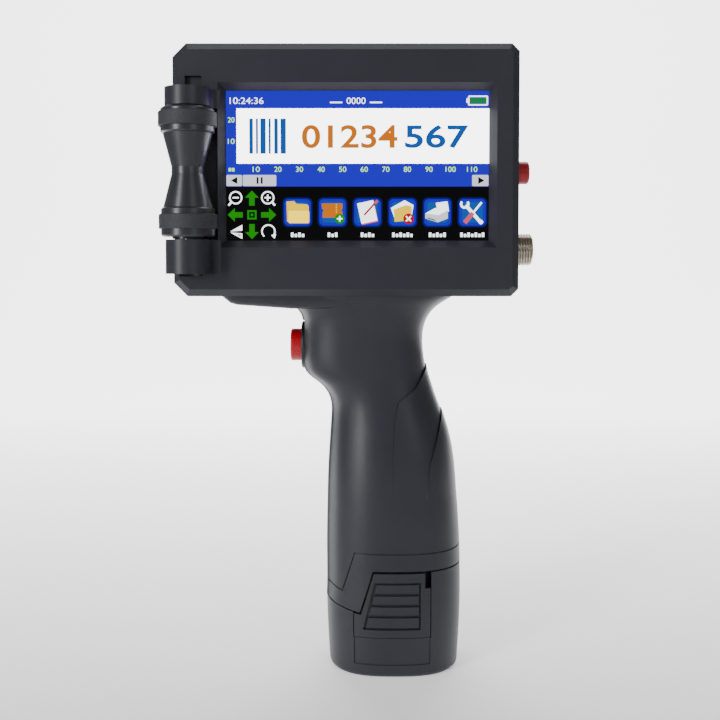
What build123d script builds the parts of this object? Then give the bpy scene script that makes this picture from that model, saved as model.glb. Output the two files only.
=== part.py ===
"""Hand-held inkjet date coder with a clamshell body, a touch screen and a pull-out battery.

Millimetres, +Z up. The origin is the centre of the battery's flat foot. The screen faces -Y, the
print face is the flat side at -X, and the sockets are on the side at +X. The two guide rollers
stand upright, one on each side of the print face.
"""
from build123d import *
from math import copysign, cos, pi, sin
import os

# ---------------------------------------------------------------- driving dimensions
HEAD_LEFT, HEAD_RIGHT = -80.5, 44.5
HEAD_BOTTOM, HEAD_TOP = 142.0, 233.0
HEAD_HALF = 27.0                  # half the head's thickness, along Y
HEAD_CHAMFER = 2.6                # bevel round the front and back faces
WALL = 2.4
FRONT_WALL = 3.0
SEAM = 0.06                       # each clamshell half stops this far from the middle plane

SCREEN_X, SCREEN_Z = -13.9, 189.2
SCREEN_W, SCREEN_H = 95.04, 53.86
BEZEL = 2.6                       # width of the sloped frame round the screen
TOUCH_SIZE = (98.0, 1.1, 58.0)
LCD_SIZE = (98.6, 3.0, 61.2)
LCD_Z = 187.1

ROLLER_X, ROLLER_Y, ROLLER_Z = -74.0, 31.5, 186.8
FLANGE_TOP, FLANGE_BOTTOM = 22.0, 23.4    # from the waist to the outer face of each flange
TYRE_OFFSET, TYRE_WIDTH = 18.0, 5.2
TYRE_R, FLANGE_R, WAIST_R = 10.3, 9.5, 5.7
POCKET_R = 10.8
POCKET_BOTTOM, POCKET_TOP = 162.4, 209.3
END_PLAY = 0.3                    # between the roller's collars and the pocket's ends
MOUNT_R = 8.0                     # roller mounts on the casing
TOP_MOUNT_LENGTH, LOW_MOUNT_LENGTH = 6.5, 12.1
AXLE_R = 2.0
AXLE_CLEARANCE = 0.04

CARTRIDGE_X = (-72.0, -5.0)
CARTRIDGE_HALF_Y, CARTRIDGE_HALF_Z = 12.3, 26.0
NOZZLE_Z = 187.0
DOOR_X, DOOR_Z = (-61.0, 20.0), (157.0, 217.0)
DOOR_GAP = 0.4
HINGE_X, HINGE_Y = 22.6, 28.4
HINGE_R, HINGE_PIN_R = 2.2, 1.0

TRIGGER_Z = 122.4
TRIGGER_FACE = -34.0              # flat on the handle that the trigger's bezel sits on
SOCKET_Y = -10.0
POWER_Z, PLUG_Z, USB_Z = 187.8, 159.0, 211.0

CELL_R, CELL_LENGTH, CELL_PITCH = 9.2, 65.0, 18.6
STICK_R = 10.5                    # radius of the battery stick's round corners
BAY_CLEARANCE = 0.35
STICK_TOP = 74.5
LATCH_WALL = 1.6
LATCH_GAP = 0.6                   # how far the latch stops below the split line
LATCH_X = (-15.2, 13.1)
LATCH_BOTTOM = 15.5
PANEL_BOTTOM = 5.0
CHAMBER_R = 6.4                   # bore of the lower roller mounts, round the encoder
USB_Y = -13.85
BOARD_X, BOARD_Y, BOARD_Z = (-57.0, 38.9), (-18.3, -16.7), (150.9, 223.6)
BOARD_SCREWS = [(-53.5, 153.4), (-53.5, 221.0), (36.5, 153.4), (36.5, 221.0)]
GUARD_SCREWS = [(-14.5, NOZZLE_Z - 27.0), (14.5, NOZZLE_Z - 27.0), (-14.5, NOZZLE_Z + 27.0),
                (14.5, NOZZLE_Z + 27.0)]
BASE_SCREWS = [(-20.2, 0.0), (19.6, 13.6), (19.6, -13.6)]
TERMINALS = [-8.0, 0.0, 8.0]

# The handle and battery in plan at each height: z, front edge, rear edge, half depth, squareness.
HANDLE = [
    (0.0, -24.7, 24.7, 22.9, 2.7),
    (12.0, -25.4, 25.4, 23.6, 2.7),
    (27.0, -25.9, 25.9, 24.0, 2.7),
    (46.0, -25.8, 25.6, 24.0, 2.6),
    (62.0, -25.6, 24.7, 23.7, 2.55),
    (75.0, -25.3, 23.3, 23.0, 2.5),
    (86.0, -24.7, 21.2, 21.8, 2.45),
    (95.0, -24.1, 18.6, 20.6, 2.4),
    (101.0, -24.2, 16.4, 19.9, 2.4),
    (105.0, -25.7, 15.0, 19.6, 2.45),
    (108.0, -28.2, 14.0, 19.5, 2.55),
    (110.5, -31.4, 13.2, 19.5, 2.7),
    (113.0, -33.7, 12.5, 19.6, 2.85),
    (118.0, -34.6, 11.6, 19.9, 3.0),
    (124.0, -34.6, 11.0, 20.3, 3.0),
    (130.0, -34.6, 11.6, 20.9, 3.0),
    (134.0, -35.2, 13.2, 21.6, 3.0),
    (137.0, -37.2, 15.6, 22.5, 3.1),
    (139.5, -40.8, 18.9, 23.6, 3.3),
    (143.0, -46.0, 24.0, 24.3, 3.5),
]
# The split between handle and battery, seen from the side, from the front edge to the rear edge.
SPLIT = [(-40.0, 29.7), (-13.0, 24.4), (-8.2, 40.1), (40.0, 40.1)]
SPLIT_GAP = 0.25                  # battery and handle each stop this far from the split line
GROOVE = [(-40.0, 36.1), (-19.6, 31.9), (-14.9, 46.8), (40.0, 46.8)]

# Screws that close the clamshell: x, z, and how far back the surface is there.
CASE_SCREWS = [(-57.0, 227.4, 27.0), (-9.0, 227.4, 27.0), (38.5, 227.4, 27.0), (-57.0, 147.6, 27.0),
               (38.5, 147.6, 27.0), (3.0, 131.5, 19.0), (-13.5, 101.0, 17.5)]
POST_R, SCREW_R, SCREW_HEAD_R = 3.0, 1.25, 2.4


# ---------------------------------------------------------------- helpers
def block(x0, x1, y0, y1, z0, z1):
    """A box between two corners."""
    return Pos((x0 + x1) / 2, (y0 + y1) / 2, (z0 + z1) / 2) * Box(abs(x1 - x0), abs(y1 - y0), abs(z1 - z0))


def rod_x(x0, x1, y, z, r):
    return Pos((x0 + x1) / 2, y, z) * Rot(0, 90, 0) * Cylinder(r, abs(x1 - x0))


def rod_y(x, y0, y1, z, r):
    return Pos(x, (y0 + y1) / 2, z) * Rot(90, 0, 0) * Cylinder(r, abs(y1 - y0))


def rod_z(x, y, z0, z1, r):
    return Pos(x, y, (z0 + z1) / 2) * Cylinder(r, abs(z1 - z0))


def side_face(points):
    """A polygon in X and Z."""
    return Plane.XZ * make_face(Polyline(*points, close=True))


def side_prism(points, half=45.0):
    """A polygon in X and Z, run through the whole thickness."""
    return extrude(side_face(points), amount=half, both=True)


def both_sides(shape):
    """The shape and its mirror image across the middle plane."""
    return [shape, mirror(shape, about=Plane.XZ)]


def group(shapes):
    """Separate solids kept together in one node."""
    return Compound(children=[solid for shape in shapes for solid in shape.solids()])


def superellipse(count, turn, front, rear, half_depth, squareness, inset):
    """Points along part of a superellipse, starting at its rear end."""
    centre, a, b = (front + rear) / 2, (rear - front) / 2 - inset, half_depth - inset
    points = []
    for i in range(count):
        c, s = cos(turn * i / count), sin(turn * i / count)
        x = centre + a * copysign(abs(c) ** (2 / squareness), c)
        y = b * copysign(abs(s) ** (2 / squareness), s)
        points.append((x, y))
    return points, centre - a


def ring(z, *row, inset=0.0):
    """A whole superellipse face at height z, pulled in all round by inset."""
    points, _ = superellipse(20, 2 * pi, *row, inset)
    return Pos(0, 0, z) * make_face(Spline(*points, periodic=True))


def half_ring(z, *row, inset=0.0, edge=SEAM):
    """The rear half of that face, closed by a straight side at y = edge."""
    points, last = superellipse(10, pi, *row, inset)
    first = points[0][0]
    arch = Spline((first, SEAM), *points[1:], (last, SEAM), tangents=[(0, 1), (0, -1)])
    base = Polyline((last, SEAM), (last, edge), (first, edge), (first, SEAM)) if edge < SEAM else \
        Line((last, SEAM), (first, SEAM))
    return Pos(0, 0, z) * make_face([arch, base])


def battery_form(inset=0.0):
    """The lofted lower body, as wide as the handle, pulled in by inset."""
    return loft([ring(*row, inset=inset) for row in HANDLE if row[0] <= 62.0])


def handle_half(inset=0.0, swell=None, edge=SEAM):
    """The rear half of the lofted handle; swell(z) pushes the surface out by that much."""
    rows = [row for row in HANDLE if row[0] >= 12.0]
    return loft([half_ring(*row, inset=inset - (swell(row[0]) if swell else 0.0), edge=edge) for row in rows])


def below(line, shift=0.0):
    """Everything under a line across the side view, the line moved down and back by shift."""
    first, last = line[0], line[-1]
    lowered = [(x + 0.5 * shift, z - shift) for x, z in line]
    return side_prism([(first[0], -10.0), *lowered, (last[0], -10.0)])


def stick_outline(radius):
    """The rounded triangle round three upright cells, its apex towards the front."""
    height = CELL_PITCH * 3 ** 0.5 / 2
    centres = [(-height / 2, 0), (height / 2, CELL_PITCH / 2), (height / 2, -CELL_PITCH / 2)]
    circles = Sketch() + [Pos(x, y) * Circle(radius) for x, y in centres]
    return make_hull(circles.edges()), centres


def head_outline(inset=0.0):
    """The head seen from the screen side, with its four cut corners."""
    x0, x1 = HEAD_LEFT + inset, HEAD_RIGHT - inset
    z0, z1 = HEAD_BOTTOM + inset, HEAD_TOP - inset
    big, small = 4.9 - 0.6 * inset, 2.7 - 0.3 * inset
    return side_face([
        (x0 + big, z0), (x1 - small, z0), (x1, z0 + small), (x1, z1 - small),
        (x1 - small, z1), (x0 + big, z1), (x0, z1 - big), (x0, z0 + big)])


# ---------------------------------------------------------------- casing
def roller_mount(low, high):
    """A round-nosed boss standing out of the front face, with a hollow sweep back to the face."""
    x, y, face = ROLLER_X, -ROLLER_Y, -HEAD_HALF
    left, right = x - MOUNT_R + 1.65, x + MOUNT_R
    outline = make_face([
        Polyline((x - MOUNT_R, y), (left, y + 1.0), (left, face + 4.0), (right + 4.5, face + 4.0),
                 (right + 4.5, face)),
        ThreePointArc((right + 4.5, face), (right + 1.2, face - 0.9), (right, y)),
        ThreePointArc((right, y), (x, y - MOUNT_R), (x - MOUNT_R, y)),
    ])
    return extrude(Pos(0, 0, low) * outline, amount=high - low)


def roller_mounts():
    """Upper and lower mounts of the rear roller."""
    upper = roller_mount(POCKET_TOP, POCKET_TOP + TOP_MOUNT_LENGTH)
    lower = roller_mount(POCKET_BOTTOM - LOW_MOUNT_LENGTH, POCKET_BOTTOM)
    return mirror(upper + lower, about=Plane.XZ)


def head_body():
    """The head's outer form, with the bevel round its front and back."""
    body = extrude(head_outline(), amount=HEAD_HALF, both=True)
    rims = body.faces().sort_by(Axis.Y)
    return chamfer((rims[0].edges() + rims[-1].edges()), HEAD_CHAMFER)


def plinth():
    """The low step under the head that runs forward from the handle."""
    half, end = 23.8, -12.0
    outline = [(-64.5, 142.6), (-60.5, 139.4), (-58.0, 138.7), (-38.0, 137.3), (end, 137.3), (end, 142.6)]
    step = side_prism(outline, half)
    sides = step.edges().filter_by(lambda e: abs(e.center().Y) > half - 1)
    return fillet(sides.filter_by(lambda e: e.center().Z < 142 and e.center().X < end - 0.5), 3.0)


def grip_panels():
    """Two shallow raised panels on the rear of the grip that fade out towards the battery."""
    def fade(height):
        return lambda z: height * min(1.0, max(-0.15, (z - 66.0) / 22.0))
    first = side_prism([(40.0, 130.0), (16.5, 121.1), (7.9, 107.3), (1.4, 102.6), (0.0, 96.0), (-0.8, 80.0),
                        (-0.8, 63.0), (40.0, 63.0)])
    second = side_prism([(40.0, 120.0), (21.5, 107.0), (18.0, 95.6), (14.6, 84.0), (12.7, 78.0), (12.3, 63.0),
                         (40.0, 63.0)])
    return (handle_half(swell=fade(0.55)) & first) + (handle_half(swell=fade(1.05)) & second)


def outer_half():
    """The rear half of the casing as one solid, before it is hollowed."""
    rear_side = block(-100, 70, SEAM, 60, -5, 240)
    form = (head_body() & rear_side) + handle_half() + (plinth() & rear_side)
    form += grip_panels()
    form += roller_mounts()
    form -= below(SPLIT, shift=-SPLIT_GAP)
    return form - block(-60.0, TRIGGER_FACE, -15.0, 15.0, TRIGGER_Z - 10.0, TRIGGER_Z + 10.0)


def battery_bay():
    """The bore that the battery stick slides up, the well for its terminals and the latch pockets."""
    outline, _ = stick_outline(STICK_R + BAY_CLEARANCE)
    bay = extrude(outline, amount=STICK_TOP + 0.8) + block(-14.0, 14.0, -8.0, 8.0, 70.0, 90.0)
    for slot in (block(-11.7, -2.3, 12.0, 21.7, 20.0, 43.0), block(-11.7, -2.3, 12.0, 22.6, 42.2, 46.5)):
        bay += slot + mirror(slot, about=Plane.XZ)
    return bay


def groove_cut():
    """A fine line round the collar above the battery."""
    band = below(GROOVE, shift=-0.25) - below(GROOVE, shift=0.25)
    return (handle_half(inset=-0.5) & band) - handle_half(inset=0.4)


def common_cuts():
    """Recesses and bores that both halves of the casing have."""
    x, y = ROLLER_X, ROLLER_Y
    top, bottom = POCKET_TOP, POCKET_BOTTOM
    return [
        rod_z(x, y, bottom, top, POCKET_R),
        # bush seats, the blind end of the axle, and the chamber in the lower mount
        rod_z(x, y, top - 1.0, top + 3.0, 3.5),
        rod_z(x, y, top, top + 5.6, AXLE_R + 0.2),
        rod_z(x, y, bottom - 2.7, bottom + 1.0, 3.5),
        rod_z(x, y, bottom - LOW_MOUNT_LENGTH - 1.0, bottom - 2.7, CHAMBER_R),
        # relief above the upper mount, for drawing the axle out
        block(x - 1.7, x + 4.3, HEAD_HALF - 2.0, HEAD_HALF + 1.0, top + TOP_MOUNT_LENGTH, top + 11.7),
        # nozzle window and the seat of its guard plate
        block(HEAD_LEFT - 1, HEAD_LEFT + 0.6, -18.2, 18.2, NOZZLE_Z - 31.2, NOZZLE_Z + 31.2),
        block(HEAD_LEFT - 1, HEAD_LEFT + 5, -9.0, 9.0, NOZZLE_Z - 15.0, NOZZLE_Z + 15.0),
        rod_x(TRIGGER_FACE - 3, TRIGGER_FACE + 5, 0, TRIGGER_Z, 7.95),
        groove_cut(),
    ]


def shell_half(form, face_wall):
    """One hollow half of the casing, drawn as the rear one; face_wall is its broad face's thickness."""
    room = extrude(head_outline(WALL), amount=HEAD_HALF - face_wall, both=True)
    room -= rod_z(ROLLER_X, ROLLER_Y, POCKET_BOTTOM - 1.2, POCKET_TOP + 1.2, POCKET_R + 1.2)
    room += handle_half(inset=2.3, edge=-1.0) & block(-60, 60, -2, 40, 86.0, 142.9)
    room += block(-34, 12, -17, 17, 138.0, 146.0)
    shell = form - room - battery_bay()
    for cut in common_cuts():
        shell -= cut
    for x, z, depth in CASE_SCREWS:
        shell += rod_y(x, SEAM, depth - 2.0, z, POST_R)
    return shell


def front_shell(form):
    """The half with the screen window, the sockets' holes and the main board's stand-offs."""
    shell = mirror(shell_half(form, FRONT_WALL), about=Plane.XZ)
    w, h = SCREEN_W / 2, SCREEN_H / 2
    glass = -HEAD_HALF + FRONT_WALL
    inner = Pos(SCREEN_X, glass + 0.01, SCREEN_Z) * Rot(90, 0, 0) * Rectangle(2 * w, 2 * h)
    outer = Pos(SCREEN_X, -HEAD_HALF, SCREEN_Z) * Rot(90, 0, 0) * Rectangle(2 * (w + BEZEL), 2 * (h + BEZEL))
    shell -= loft([inner, outer])
    inside = HEAD_RIGHT - 4
    shell -= rod_x(inside, HEAD_RIGHT + 2, SOCKET_Y, PLUG_Z, 6.05)
    shell -= rod_x(inside, HEAD_RIGHT + 2, SOCKET_Y, POWER_Z, 5.05)
    shell -= block(inside, HEAD_RIGHT + 2, USB_Y - 3.05, USB_Y + 3.05, USB_Z - 6.9, USB_Z + 6.9)
    # wire slot from the encoder's chamber into the head
    shell -= block(ROLLER_X - 2.5, ROLLER_X + 2.5, -ROLLER_Y, -HEAD_HALF + FRONT_WALL + 1.0, 151.5, 156.5)
    for x, z in BOARD_SCREWS:
        shell += rod_y(x, -HEAD_HALF + 1.0, BOARD_Y[0], z, 2.6)
        shell -= rod_y(x, -HEAD_HALF + 4.0, -15.0, z, 1.0)
    for x, z, depth in CASE_SCREWS:
        shell -= rod_y(x, -depth + 5.0, 1.0, z, SCREW_R)
    for y, z in GUARD_SCREWS:
        shell -= rod_x(HEAD_LEFT - 2, HEAD_LEFT + 4, y, z, 1.0)
    return shell


def rear_shell(form):
    """The half with the cartridge door, its hinge knuckles and the screw wells."""
    shell = shell_half(form, WALL)
    x0, x1, z0, z1 = *DOOR_X, *DOOR_Z
    shell += block(x0 - 2.4, x1 + 2.4, HEAD_HALF - 4.6, HEAD_HALF - 1.0, z0 - 2.4, z1 + 2.4)
    shell -= block(x0 - DOOR_GAP, x1 + DOOR_GAP, HEAD_HALF - 2.5, HEAD_HALF + 2, z0 - DOOR_GAP, z1 + DOOR_GAP)
    shell -= block(x0 + 1.5, x1 - 1.5, HEAD_HALF - 6, HEAD_HALF + 2, z0 + 1.5, z1 - 1.5)
    shell -= rod_z(HINGE_X, HINGE_Y, 163.6, 210.4, HINGE_R + 0.4)
    for low, high in ((158.6, 163.6), (210.4, 215.4)):
        shell += rod_z(HINGE_X, HINGE_Y, low, high, HINGE_R)
        shell += block(HINGE_X, HINGE_X + HINGE_R, HEAD_HALF - 0.5, HINGE_Y, low, high)
    shell -= rod_z(HINGE_X, HINGE_Y, 159.6, 214.4, HINGE_PIN_R)
    for x, z, depth in CASE_SCREWS:
        shell -= rod_y(x, -1.0, depth + 8.0, z, SCREW_R + 0.35)
        shell -= rod_y(x, depth - 4.0, depth + 8.0, z, SCREW_HEAD_R + 0.25)
    for y, z in GUARD_SCREWS:
        shell -= rod_x(HEAD_LEFT - 2, HEAD_LEFT + 4, y, z, 1.0)
    return shell


def case_screws():
    """Self-tapping screws driven from the rear half into the posts of the front half."""
    screws = []
    for x, z, depth in CASE_SCREWS:
        head = rod_y(x, depth - 4.0, depth - 2.2, z, SCREW_HEAD_R)
        slot = Pos(x, depth - 2.2, z) * Rot(90, 0, 0)
        cross = slot * Box(2.6, 0.6, 1.4) + slot * Box(0.6, 2.6, 1.4)
        shank = rod_y(x, -depth + 7.0, depth - 4.0, z, SCREW_R - 0.02)
        screws.append(head + shank - cross)
    return group(screws)


# ---------------------------------------------------------------- rollers
def roller_hub():
    """The waisted roller, with a seat for a tyre in each flange and a collar at each end."""
    seat_r, collar_r = 8.9, 5.6
    seat = TYRE_WIDTH / 2 + 0.02

    def half_profile(collar, face):
        return [(AXLE_R, collar), (collar_r, collar), (collar_r, face), (FLANGE_R - 0.6, face),
                (FLANGE_R, face - 0.6), (FLANGE_R, TYRE_OFFSET + seat), (seat_r, TYRE_OFFSET + seat),
                (seat_r, TYRE_OFFSET - seat), (FLANGE_R, TYRE_OFFSET - seat), (FLANGE_R, 13.6),
                (FLANGE_R - 0.4, 13.2), (8.7, 13.0), (WAIST_R, 1.2)]

    upper = half_profile(POCKET_TOP - END_PLAY - ROLLER_Z, FLANGE_TOP)
    lower = half_profile(ROLLER_Z - POCKET_BOTTOM - END_PLAY, FLANGE_BOTTOM)
    profile = make_face(Polyline(*upper, *[(r, -z) for r, z in reversed(lower)], close=True))
    return Pos(ROLLER_X, -ROLLER_Y, ROLLER_Z) * revolve(Plane.XZ * profile, Axis.Z)


def roller_tyres():
    """Two rubber bands that grip the product."""
    tyres = []
    for side in (1, -1):
        band = RectangleRounded(TYRE_R - 8.92, TYRE_WIDTH, 0.4)
        section = Pos((TYRE_R + 8.92) / 2, side * TYRE_OFFSET) * band
        tyres.append(Pos(ROLLER_X, -ROLLER_Y, ROLLER_Z) * revolve(Plane.XZ * section, Axis.Z))
    return group(tyres)


def roller_axle(low):
    """Ground steel axle, turning with its roller in the mounts' bushes."""
    axle = rod_z(ROLLER_X, -ROLLER_Y, low, POCKET_TOP + 4.8, AXLE_R)
    return chamfer(axle.edges().filter_by(GeomType.CIRCLE), 0.3)


def bushes():
    """Plain bushes pressed into the four roller mounts."""
    parts = []
    for z0, z1 in ((POCKET_TOP + 0.1, POCKET_TOP + 2.9), (POCKET_BOTTOM - 2.6, POCKET_BOTTOM - 0.1)):
        bush = rod_z(ROLLER_X, -ROLLER_Y, z0, z1, 3.48)
        bush -= rod_z(ROLLER_X, -ROLLER_Y, z0 - 1, z1 + 1, AXLE_R + AXLE_CLEARANCE)
        parts += both_sides(bush)
    return group(parts)


def encoder_disc():
    """Slotted code wheel on the near roller's axle."""
    z = 157.4
    disc = rod_z(ROLLER_X, -ROLLER_Y, z, z + 0.6, 5.3) + rod_z(ROLLER_X, -ROLLER_Y, z - 1.6, z + 1.6, 3.1)
    disc -= rod_z(ROLLER_X, -ROLLER_Y, z - 3, z + 3, AXLE_R)
    slots = 20
    for i in range(slots):
        slot = Rot(0, 0, 360 * i / slots) * Pos(4.3, 0, 0) * Box(1.1, 0.5, 2)
        disc -= Pos(ROLLER_X, -ROLLER_Y, z + 0.3) * slot
    return disc


def encoder_sensor():
    """Slotted light barrier that straddles the code wheel's rim."""
    x, y = ROLLER_X, -ROLLER_Y
    fork = block(x - 1.9, x + 1.9, y + 3.9, y + 6.05, 154.6, 159.6)
    return fork - block(x - 3, x + 3, y + 3, y + 5.7, 156.9, 158.5)


def mount_caps():
    """Discs that close the lower mounts."""
    cap = rod_z(ROLLER_X, -ROLLER_Y, 150.4, 152.2, 6.3)
    cap -= block(ROLLER_X - 3, ROLLER_X + 3, -ROLLER_Y - 0.5, -ROLLER_Y + 0.5, 150, 151.0)
    return group(both_sides(cap))


# ---------------------------------------------------------------- screen and boards
def touch_panel():
    w, d, h = TOUCH_SIZE
    return Pos(SCREEN_X, -HEAD_HALF + FRONT_WALL + 0.05 + d / 2, SCREEN_Z) * Box(w, d, h)


def lcd_panel():
    w, d, h = LCD_SIZE
    y0 = -HEAD_HALF + FRONT_WALL + 0.1 + TOUCH_SIZE[1]
    return Pos(SCREEN_X + 0.2, y0 + d / 2, LCD_Z) * Box(w, d, h)


def main_board():
    board = block(*BOARD_X, *BOARD_Y, *BOARD_Z)
    for x, z in BOARD_SCREWS:
        board -= rod_y(x, -20, -15, z, 1.6)
    return board


def board_screws():
    screws = []
    for x, z in BOARD_SCREWS:
        screws.append(rod_y(x, BOARD_Y[1], BOARD_Y[1] + 1.4, z, 2.3) + rod_y(x, -21.5, BOARD_Y[1], z, 0.98))
    return group(screws)


def board_chips():
    """Flat packages on the back of the main board."""
    y = BOARD_Y[1]
    chips = [block(-48, -34, y, y + 1.4, 180, 194), block(-28, -18, y, y + 1.2, 170, 184),
             block(-28, -18, y, y + 1.2, 192, 206), block(12, 24, y, y + 1.6, 178, 190),
             block(14, 20, y, y + 1.6, 198, 203), block(-46, -40, y, y + 1.4, 202, 207)]
    return group(chips)


def board_capacitors():
    """Electrolytic cans beside the power input."""
    y = BOARD_Y[1]
    return group([rod_y(x, y, y + 8.0, z, 4.0) for x, z in ((12.0, 166.0), (20.5, 166.0), (33.0, 200.0))])


def board_sockets():
    """Wire-to-board headers along the edges of the main board."""
    y = BOARD_Y[1]
    places = [(-6.0, 154.5, 14.0), (12.0, 154.5, 8.0), (27.0, 174.0, 8.0), (-44.0, 155.0, 10.0)]
    headers = []
    for x, z, width in places:
        header = block(x - width / 2, x + width / 2, y, y + 5.0, z - 2.6, z + 2.6)
        headers.append(header - block(x - width / 2 + 1, x + width / 2 - 1, y + 1.5, y + 6, z - 1.6, z + 1.6))
    return group(headers)


def buzzer():
    y = BOARD_Y[1]
    return rod_y(22.0, y, y + 6.5, 212.5, 4.6) - rod_y(22.0, y + 5.5, y + 7, 212.5, 1.0)


# ---------------------------------------------------------------- cartridge bay
def cartridge_stall():
    """Open-backed cradle that holds the cartridge against its contacts, with ears for the clamp."""
    x0, x1 = -77.6, 8.0
    y0, z0, z1 = -14.4, NOZZLE_Z - 28.4, NOZZLE_Z + 28.4
    stall = block(x0, x1, y0, 12.0, z0, z1)
    stall -= block(-72.2, x1 + 5, -12.6, 20.0, NOZZLE_Z - 26.3, NOZZLE_Z + 26.3)
    stall -= block(-90, -70, -9.0, 20.0, NOZZLE_Z - 16.0, NOZZLE_Z + 16.0)
    # the side walls stop short of the clamp, and the contact window is in the lower wall
    stall -= block(-3.0, x1 + 1, -12.6, 20.0, z0 - 1, z1 + 1)
    stall -= block(-68.0, -46.0, -9.5, 9.5, z0 - 1, NOZZLE_Z - 20.0)
    for z in (NOZZLE_Z - 15.0, NOZZLE_Z + 12.4):
        ear = block(0.6, 7.0, -12.8, -7.6, z, z + 2.6)
        stall += ear - rod_z(3.8, -10.2, z - 1, z + 4, 1.25)
    return stall


def contact_block():
    """Contact carrier under the cartridge's nose."""
    return block(-67.5, -46.5, -9.0, 9.0, NOZZLE_Z - 28.6, NOZZLE_Z - 26.9)


def contact_pins():
    """Spring contacts in rows."""
    pins = []
    for i in range(6):
        for j in range(4):
            x, y = -65.0 + 3.2 * i, -6.0 + 4.0 * j
            pins.append(rod_z(x, y, NOZZLE_Z - 26.9, NOZZLE_Z - 26.05, 0.55))
    return group(pins)


def ink_cartridge():
    x0, x1 = CARTRIDGE_X
    body = block(x0, x1 - 4.0, -CARTRIDGE_HALF_Y, CARTRIDGE_HALF_Y, NOZZLE_Z - CARTRIDGE_HALF_Z,
                 NOZZLE_Z + CARTRIDGE_HALF_Z)
    body = fillet(body.edges().filter_by(Axis.X), 2.0)
    nose = block(HEAD_LEFT + 0.2, x0 + 1.0, -7.2, 7.2, NOZZLE_Z - 13.0, NOZZLE_Z + 13.0)
    nose = fillet(nose.edges().filter_by(Axis.X), 1.5)
    return body + nose


def cartridge_cap():
    """The moulded lid at the cartridge's grip end."""
    x0, x1 = CARTRIDGE_X[1] - 4.0, CARTRIDGE_X[1]
    cap = block(x0, x1, -CARTRIDGE_HALF_Y + 0.2, CARTRIDGE_HALF_Y - 0.2, NOZZLE_Z - 25.8, NOZZLE_Z + 25.8)
    return fillet(cap.edges().filter_by(Axis.X), 2.0)


def nozzle_strip():
    """Thin orifice plate on the cartridge's nose."""
    return block(HEAD_LEFT + 0.05, HEAD_LEFT + 0.2, -4.5, 4.5, NOZZLE_Z - 8.5, NOZZLE_Z + 8.5)


def nozzle_guard():
    """Stainless plate round the nozzle window."""
    plate = block(HEAD_LEFT - 0.5, HEAD_LEFT + 0.55, -18.0, 18.0, NOZZLE_Z - 31.0, NOZZLE_Z + 31.0)
    plate = fillet(plate.edges().filter_by(Axis.X), 2.0)
    slot = block(HEAD_LEFT - 2, HEAD_LEFT + 2, -7.7, 7.7, NOZZLE_Z - 13.5, NOZZLE_Z + 13.5)
    plate -= fillet(slot.edges().filter_by(Axis.X), 3.0)
    for y, z in GUARD_SCREWS:
        plate -= rod_x(HEAD_LEFT - 2, HEAD_LEFT + 2, y, z, 1.1)
    return plate


def guard_screws():
    screws = []
    for y, z in GUARD_SCREWS:
        head = rod_x(HEAD_LEFT - 1.3, HEAD_LEFT - 0.5, y, z, 2.0)
        head -= Pos(HEAD_LEFT - 1.3, y, z) * (Box(0.7, 2.4, 0.5) + Box(0.7, 0.5, 2.4))
        screws.append(head + rod_x(HEAD_LEFT - 0.5, HEAD_LEFT + 2.3, y, z, 0.98))
    return group(screws)


def cartridge_clamp():
    """Sprung lever that presses on the cartridge's lid; it swings towards +X to free it."""
    z0, z1 = NOZZLE_Z - 12.0, NOZZLE_Z + 12.0
    lever = block(1.4, 4.0, -10.2, 15.5, z0, z1) + rod_z(3.8, -10.2, z0, z1, 2.1)
    lever += block(-4.5, 1.4, -2.0, 5.0, z0 + 5.0, z1 - 5.0)
    lever += block(1.4, 9.5, 13.6, 15.5, z0 + 3.0, z1 - 3.0)
    return lever - rod_z(3.8, -10.2, z0 - 1, z1 + 1, 1.25)


def clamp_pin():
    return rod_z(3.8, -10.2, NOZZLE_Z - 15.0, NOZZLE_Z + 15.0, 1.2)


def cartridge_door():
    """Flush door in the back, ribbed where a thumb opens it."""
    y0, y1 = HEAD_HALF - 2.2, HEAD_HALF
    door = block(*DOOR_X, y0, y1, *DOOR_Z)
    door = fillet(door.edges().filter_by(Axis.Y), 1.2)
    for i in range(5):
        x = DOOR_X[0] + 3.5 + 2.2 * i
        door -= block(x, x + 1.0, y1 - 0.6, y1 + 1, 177.0, 197.0)
    knuckle = rod_z(HINGE_X, HINGE_Y, 163.9, 210.1, HINGE_R)
    arm = side_arm()
    door += knuckle + arm
    return door - rod_z(HINGE_X, HINGE_Y, 160, 214, HINGE_PIN_R + 0.05)


def side_arm():
    """The web that joins the door's plate to its knuckle, over the edge of the opening."""
    z0, z1 = 163.9, 210.1
    outline = make_face(Polyline((16.5, 26.6), (19.9, 26.6), (19.9, 27.15), (HINGE_X - 1.4, 27.6),
                                 (HINGE_X, HINGE_Y), (HINGE_X, HINGE_Y + HINGE_R - 0.05),
                                 (HINGE_X - 1.8, HINGE_Y + 1.2), (16.5, 27.0), close=True))
    return extrude(Pos(0, 0, z0) * outline, amount=z1 - z0)


def hinge_pin():
    return rod_z(HINGE_X, HINGE_Y, 159.7, 214.3, HINGE_PIN_R - 0.005)


# ---------------------------------------------------------------- side sockets and buttons
def connector_shell():
    """Threaded round socket: shallow rings stand for the fine thread outside the casing."""
    shell = rod_x(36.0, 45.0, SOCKET_Y, PLUG_Z, 5.8) + rod_x(HEAD_RIGHT, 51.4, SOCKET_Y, PLUG_Z, 6.0)
    for i in range(5):
        x = 45.5 + 1.1 * i
        shell -= rod_x(x, x + 0.45, SOCKET_Y, PLUG_Z, 7.0) - rod_x(x - 1, x + 2, SOCKET_Y, PLUG_Z, 5.88)
    shell -= rod_x(42.5, 55.0, SOCKET_Y, PLUG_Z, 4.9)
    return shell - rod_x(30.0, 42.5, SOCKET_Y, PLUG_Z, 4.3)


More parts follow.
